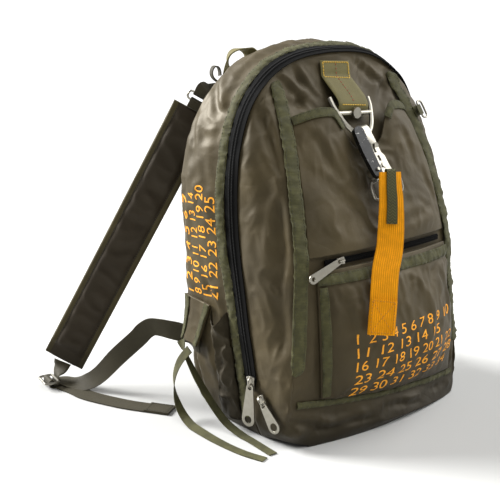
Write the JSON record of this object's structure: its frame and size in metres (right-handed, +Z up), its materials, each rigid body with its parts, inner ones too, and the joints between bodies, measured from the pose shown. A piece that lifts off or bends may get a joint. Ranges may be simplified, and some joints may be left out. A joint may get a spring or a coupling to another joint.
{
  "type": "nylon daypack",
  "caption": "Upright stuffed nylon daypack, zipped shut, with filled front pocket, slip pocket, webbing pull on a snap hook, bound seams, ties and two shoulder straps.",
  "frame": {"origin": "middle of the flat base that the bag stands on", "axes": "+Z up; the front with its pockets faces -Y and the wearer's back is at +Y; +X is to the right when looking at the front"},
  "size_m": [0.5023, 0.4236, 0.4559],
  "materials": {
    "olive_nylon": "thin woven nylon with a soft sheen",
    "olive_tape": "woven olive binding tape and webbing",
    "dark_olive_webbing": "dark woven webbing",
    "brown_strap_nylon": "dark nylon over filled shoulder straps",
    "orange_webbing": "ribbed orange webbing",
    "black_zip_tape": "black coil zip and its tape",
    "nickel_hardware": "bright nickel plate",
    "black_lever": "black coated steel"
  },
  "bodies": {
    "bag": {"body_rear": "olive_nylon", "body_front": "olive_nylon", "front_pocket": "olive_nylon", "slip_pocket": "olive_nylon", "side_pocket_left": "olive_nylon", "side_pocket_right": "olive_nylon", "side_wing_left": "olive_nylon", "side_wing_right": "olive_nylon", "zip_binding": "olive_tape", "front_tape_left": "olive_tape", "front_tape_right": "olive_tape", "base_seam_binding": "olive_tape", "pocket_top_binding": "olive_tape", "pocket_side_binding": "olive_tape", "slip_binding_left": "olive_tape", "slip_binding_right": "olive_tape", "wing_binding_back_left": "olive_tape", "wing_binding_back_right": "olive_tape", "wing_binding_front_left": "olive_tape", "wing_binding_front_right": "olive_tape", "hanger_webbing": "olive_tape", "keeper_webbing": "olive_tape", "carry_handle": "olive_tape", "side_ring_loop": "olive_tape", "tie_left_bowed": "olive_tape", "tie_left_flat": "olive_tape", "tie_right_bowed": "olive_tape", "tie_right_flat": "olive_tape", "hang_loop": "dark_olive_webbing", "anchor_webbing_left": "dark_olive_webbing", "anchor_webbing_right": "dark_olive_webbing", "pad_top_loop_left": "dark_olive_webbing", "pad_top_loop_right": "dark_olive_webbing", "buckle_loop_left": "dark_olive_webbing", "buckle_loop_right": "dark_olive_webbing", "strap_webbing_left": "dark_olive_webbing", "strap_webbing_right": "dark_olive_webbing", "shoulder_pad_left": "brown_strap_nylon", "shoulder_pad_right": "brown_strap_nylon", "pull_webbing": "orange_webbing", "pull_tab_end": "orange_webbing", "main_zip": "black_zip_tape", "pocket_zip": "black_zip_tape", "upper_slider": "nickel_hardware", "upper_pull": "nickel_hardware", "lower_slider": "nickel_hardware", "lower_pull": "nickel_hardware", "pocket_slider": "nickel_hardware", "pocket_pull": "nickel_hardware", "v_ring": "nickel_hardware", "hook_body": "nickel_hardware", "hook_bail": "nickel_hardware", "side_ring": "nickel_hardware", "anchor_ring_left": "nickel_hardware", "anchor_ring_right": "nickel_hardware", "buckle_left": "nickel_hardware", "buckle_right": "nickel_hardware"},
    "lever": {"hook_lever": "black_lever"}
  },
  "joints": [
    {"name": "lever_hinge", "type": "hinge", "parent": "bag", "child": "lever", "pos_m": [-0.01163, -0.09375, 0.30445], "axis": [-0.1219, -0.8619, 0.4922], "range_deg": [0, 20], "stiffness_Nm_per_rad": 0.05}
  ]
}
